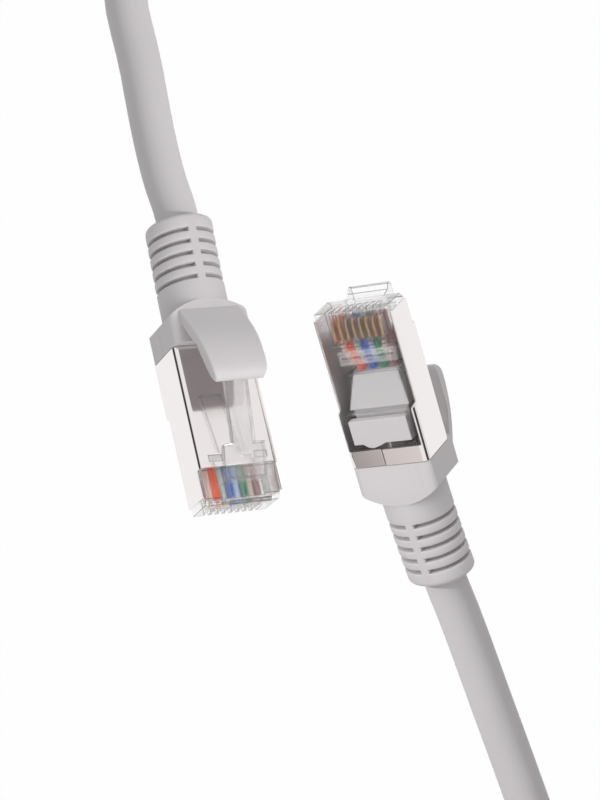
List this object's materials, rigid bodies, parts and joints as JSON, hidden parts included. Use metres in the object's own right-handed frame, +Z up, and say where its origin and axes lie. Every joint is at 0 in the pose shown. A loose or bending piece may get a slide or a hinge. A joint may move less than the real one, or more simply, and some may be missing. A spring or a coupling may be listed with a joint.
{
  "type": "network patch cable",
  "caption": "Shielded network patch cable with snagless boots, one plug latch side up, the other contact side up, spare cord coiled.",
  "frame": {"origin": "middle of the two plugs' footprint, on the surface they lie on", "axes": "+Z up from the surface; +Y is the way the plug with its latch side up points its cord; +X to the right of it"},
  "size_m": [0.0779, 0.2305, 0.0224],
  "materials": {
    "clear_plastic": "clear moulded polycarbonate, glossy",
    "shell_metal": "nickel-plated thin sheet, bright and smooth",
    "boot_vinyl": "warm light grey moulded vinyl, satin",
    "cord_jacket": "warm light grey vinyl jacket, satin",
    "clamp_plastic": "light grey moulded plastic",
    "tinned_copper": "tinned copper strand",
    "gold_contact": "gold-plated blade contact, polished",
    "tie_fabric": "black hook-and-loop strap",
    "wire_white_orange": "coloured wire insulation",
    "wire_orange": "coloured wire insulation",
    "wire_white_green": "coloured wire insulation",
    "wire_blue": "coloured wire insulation",
    "wire_white_blue": "coloured wire insulation",
    "wire_green": "coloured wire insulation",
    "wire_white_brown": "coloured wire insulation",
    "wire_brown": "coloured wire insulation"
  },
  "bodies": {
    "cable": {"plug_body_a": "clear_plastic", "shell_a": "shell_metal", "boot_a": "boot_vinyl", "jacket_end_a": "cord_jacket", "clamp_bar_a": "clamp_plastic", "wire_guide_a": "clear_plastic", "drain_wire_a": "tinned_copper", "contact_1_a": "gold_contact", "contact_2_a": "gold_contact", "contact_3_a": "gold_contact", "contact_4_a": "gold_contact", "contact_5_a": "gold_contact", "contact_6_a": "gold_contact", "contact_7_a": "gold_contact", "contact_8_a": "gold_contact", "wire_white_orange_a": "wire_white_orange", "wire_orange_a": "wire_orange", "wire_white_green_a": "wire_white_green", "wire_blue_a": "wire_blue", "wire_white_blue_a": "wire_white_blue", "wire_green_a": "wire_green", "wire_white_brown_a": "wire_white_brown", "wire_brown_a": "wire_brown", "plug_body_b": "clear_plastic", "shell_b": "shell_metal", "boot_b": "boot_vinyl", "jacket_end_b": "cord_jacket", "clamp_bar_b": "clamp_plastic", "wire_guide_b": "clear_plastic", "drain_wire_b": "tinned_copper", "contact_1_b": "gold_contact", "contact_2_b": "gold_contact", "contact_3_b": "gold_contact", "contact_4_b": "gold_contact", "contact_5_b": "gold_contact", "contact_6_b": "gold_contact", "contact_7_b": "gold_contact", "contact_8_b": "gold_contact", "wire_white_orange_b": "wire_white_orange", "wire_orange_b": "wire_orange", "wire_white_green_b": "wire_white_green", "wire_blue_b": "wire_blue", "wire_white_blue_b": "wire_white_blue", "wire_green_b": "wire_green", "wire_white_brown_b": "wire_white_brown", "wire_brown_b": "wire_brown", "cord_stretch_a": "cord_jacket", "cord_stretch_b": "cord_jacket", "cord_coil": "cord_jacket", "coil_tie": "tie_fabric"},
    "latch_a_body": {"latch_a": "clear_plastic"},
    "boot_tab_a_body": {"boot_tab_a": "boot_vinyl"},
    "latch_b_body": {"latch_b": "clear_plastic"},
    "boot_tab_b_body": {"boot_tab_b": "boot_vinyl"}
  },
  "joints": [
    {"name": "boot_tab_a_press", "type": "hinge", "parent": "cable", "child": "boot_tab_a_body", "pos_m": [-0.01316, 0.0109, 0.01299], "axis": [0.8983, 0.0829, -0.4314], "range_deg": [0, 18], "stiffness_Nm_per_rad": 0.05},
    {"name": "latch_a_press", "type": "hinge", "parent": "cable", "child": "latch_a_body", "pos_m": [-0.00861, -0.01064, 0.01832], "axis": [0.8983, 0.0829, -0.4314], "range_deg": [-12, 0], "stiffness_Nm_per_rad": 0.00002},
    {"name": "boot_tab_b_press", "type": "hinge", "parent": "cable", "child": "boot_tab_b_body", "pos_m": [0.01555, -0.00763, 0.00532], "axis": [0.8762, 0.1012, 0.4712], "range_deg": [0, 18], "stiffness_Nm_per_rad": 0.05},
    {"name": "latch_b_press", "type": "hinge", "parent": "cable", "child": "latch_b_body", "pos_m": [0.00889, 0.01247, 0.01338], "axis": [0.8762, 0.1012, 0.4712], "range_deg": [-12, 0], "stiffness_Nm_per_rad": 0.00002}
  ],
  "couplings": [
    {"joint": "latch_a_press", "follows": "boot_tab_a_press", "ratio": -0.64},
    {"joint": "latch_b_press", "follows": "boot_tab_b_press", "ratio": -0.64}
  ]
}
